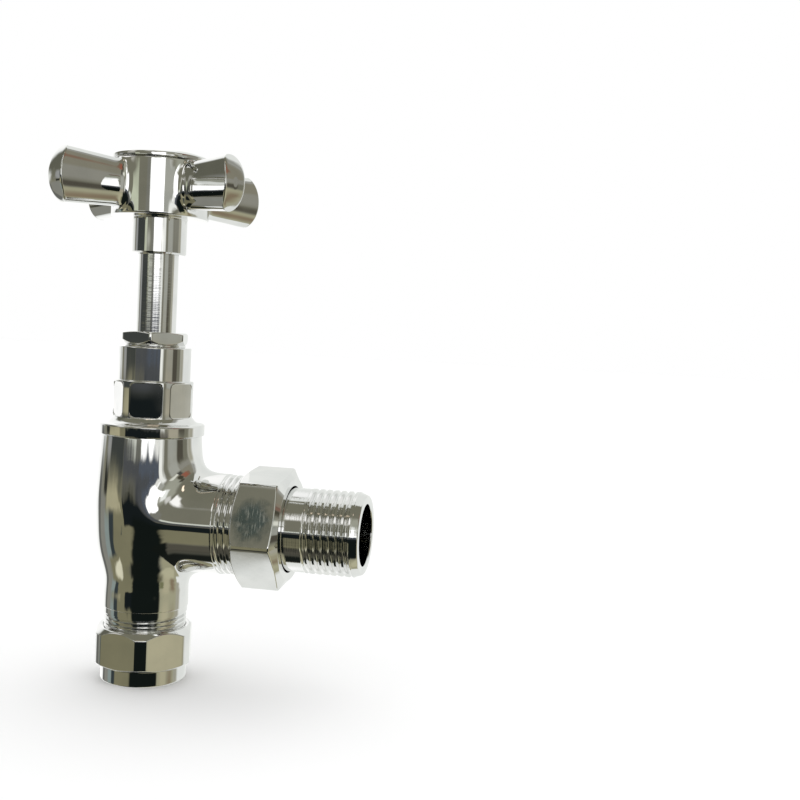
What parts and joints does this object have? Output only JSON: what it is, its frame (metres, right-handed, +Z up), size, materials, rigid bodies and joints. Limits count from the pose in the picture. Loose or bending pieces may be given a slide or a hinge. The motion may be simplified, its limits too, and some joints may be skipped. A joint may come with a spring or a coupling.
{
  "type": "angle radiator valve",
  "caption": "Angle radiator valve with cross-head handle on a rising spindle, threaded union tail to the side and compression inlet below.",
  "frame": {"origin": "on the valve axis, at the open mouth of the compression nut where the pipe goes in", "axes": "+Z up the valve axis to the handle, +X out along the union tail"},
  "size_m": [0.0829, 0.0528, 0.1335],
  "materials": {
    "chrome": "bright mirror chrome plate with a few fine scratches",
    "brass": "plain machined brass",
    "steel": "bright zinc-plated steel",
    "rubber": "matte black rubber",
    "packing": "soft white packing",
    "fibre": "red fibre sealing ring"
  },
  "bodies": {
    "valve_body": {"body": "chrome", "seat_ring": "brass", "bonnet": "chrome", "bonnet_washer": "fibre", "gland_nut": "chrome", "gland_follower": "brass", "packing_rings": "packing", "packing_washer": "brass"},
    "jumper_set": {"jumper": "brass", "seat_washer": "rubber", "washer_nut": "brass"},
    "handle_set": {"spindle": "chrome", "handle_cross": "chrome", "handle_screw": "steel", "screw_washer": "steel", "handle_cap": "chrome", "cap_ring": "rubber"},
    "tail_set": {"tailpiece": "chrome", "union_seal": "rubber"},
    "union_nut_set": {"union_nut": "chrome"},
    "olive_set": {"olive": "brass"},
    "compression_nut_set": {"compression_nut": "chrome"}
  },
  "joints": [
    {"name": "spindle_lift", "type": "slide", "parent": "valve_body", "child": "jumper_set", "axis": [0, 0, 1], "range_m": [0, 0.0045]},
    {"name": "handle_turn", "type": "hinge", "parent": "jumper_set", "child": "handle_set", "pos_m": [0, 0, 0.1236], "axis": [0, 0, 1], "range_deg": [0, 1081]},
    {"name": "tail_draw", "type": "slide", "parent": "valve_body", "child": "tail_set", "axis": [1, 0, 0], "range_m": [0, 0.004]},
    {"name": "union_nut_turn", "type": "hinge", "parent": "tail_set", "child": "union_nut_set", "pos_m": [0.03, 0, 0.0408], "axis": [1, 0, 0], "range_deg": [0, 961]},
    {"name": "olive_drop", "type": "slide", "parent": "valve_body", "child": "olive_set", "axis": [0, 0, -1], "range_m": [0, 0.00544]},
    {"name": "compression_nut_turn", "type": "hinge", "parent": "olive_set", "child": "compression_nut_set", "pos_m": [0, 0, 0.007], "axis": [0, 0, -1], "range_deg": [0, 1081]}
  ],
  "couplings": [
    {"joint": "handle_turn", "follows": "spindle_lift", "rad_per_m": 4188.8},
    {"joint": "union_nut_turn", "follows": "tail_draw", "rad_per_m": 4188.8},
    {"joint": "compression_nut_turn", "follows": "olive_drop", "rad_per_m": 3463.7}
  ]
}
